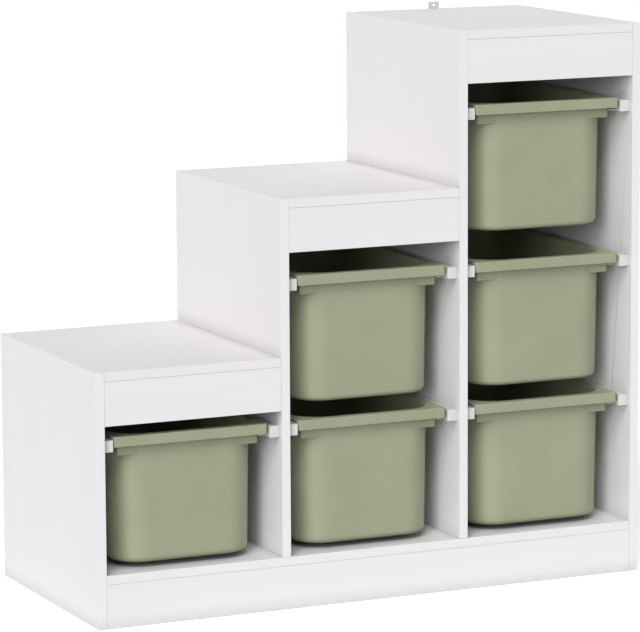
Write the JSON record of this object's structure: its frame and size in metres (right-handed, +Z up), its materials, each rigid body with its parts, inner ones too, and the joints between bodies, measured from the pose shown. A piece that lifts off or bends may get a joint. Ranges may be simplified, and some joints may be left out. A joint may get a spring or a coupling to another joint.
{
  "type": "toy storage organizer with bins",
  "caption": "Stepped children's storage frame in white foil-covered board, with sage-green plastic bins that hang by their rims on runners and pull out to the front.",
  "frame": {"origin": "on the floor at the centre of the footprint", "axes": "+X to the right seen from the front, -Y out of the open front, +Z up"},
  "size_m": [0.99, 0.44, 0.952],
  "materials": {
    "white_board": "white foil on particleboard",
    "hardboard": "white lacquered hardboard",
    "bin_plastic": "fine moulded texture, sage green",
    "runner_plastic": "moulded, white",
    "bracket_steel": "light grey",
    "bolt_steel": "zinc plated",
    "zinc": "die cast",
    "beech": "plain beech"
  },
  "bodies": {
    "frame": {"left_side_panel": "white_board", "divider_low_mid": "white_board", "divider_mid_tall": "white_board", "right_side_panel": "white_board", "bottom_panel": "white_board", "plinth_front": "white_board", "plinth_rear": "white_board", "top_panel_low": "white_board", "top_panel_mid": "white_board", "top_panel_tall": "white_board", "front_rail_low": "white_board", "front_rail_mid": "white_board", "front_rail_tall": "white_board", "back_panel_low": "hardboard", "back_panel_mid": "hardboard", "back_panel_tall": "hardboard", "runner_low_1_left": "runner_plastic", "runner_low_1_right": "runner_plastic", "runner_mid_1_left": "runner_plastic", "runner_mid_1_right": "runner_plastic", "runner_mid_2_left": "runner_plastic", "runner_mid_2_right": "runner_plastic", "runner_tall_1_left": "runner_plastic", "runner_tall_1_right": "runner_plastic", "runner_tall_2_left": "runner_plastic", "runner_tall_2_right": "runner_plastic", "runner_tall_3_left": "runner_plastic", "runner_tall_3_right": "runner_plastic", "dowels": "beech", "cam_bolts": "bolt_steel", "cam_locks": "zinc", "divider_screws": "bolt_steel", "wall_bracket": "bracket_steel", "bracket_screw": "bolt_steel"},
    "bin_low_1": {"bin_low_1": "bin_plastic"},
    "bin_mid_1": {"bin_mid_1": "bin_plastic"},
    "bin_mid_2": {"bin_mid_2": "bin_plastic"},
    "bin_tall_1": {"bin_tall_1": "bin_plastic"},
    "bin_tall_2": {"bin_tall_2": "bin_plastic"},
    "bin_tall_3": {"bin_tall_3": "bin_plastic"}
  },
  "joints": [
    {"name": "slide_bin_low_1", "type": "slide", "parent": "frame", "child": "bin_low_1", "axis": [0, -1, 0], "range_m": [0, 0.3]},
    {"name": "slide_bin_mid_1", "type": "slide", "parent": "frame", "child": "bin_mid_1", "axis": [0, -1, 0], "range_m": [0, 0.3]},
    {"name": "slide_bin_mid_2", "type": "slide", "parent": "frame", "child": "bin_mid_2", "axis": [0, -1, 0], "range_m": [0, 0.3]},
    {"name": "slide_bin_tall_1", "type": "slide", "parent": "frame", "child": "bin_tall_1", "axis": [0, -1, 0], "range_m": [0, 0.3]},
    {"name": "slide_bin_tall_2", "type": "slide", "parent": "frame", "child": "bin_tall_2", "axis": [0, -1, 0], "range_m": [0, 0.3]},
    {"name": "slide_bin_tall_3", "type": "slide", "parent": "frame", "child": "bin_tall_3", "axis": [0, -1, 0], "range_m": [0, 0.3]}
  ]
}
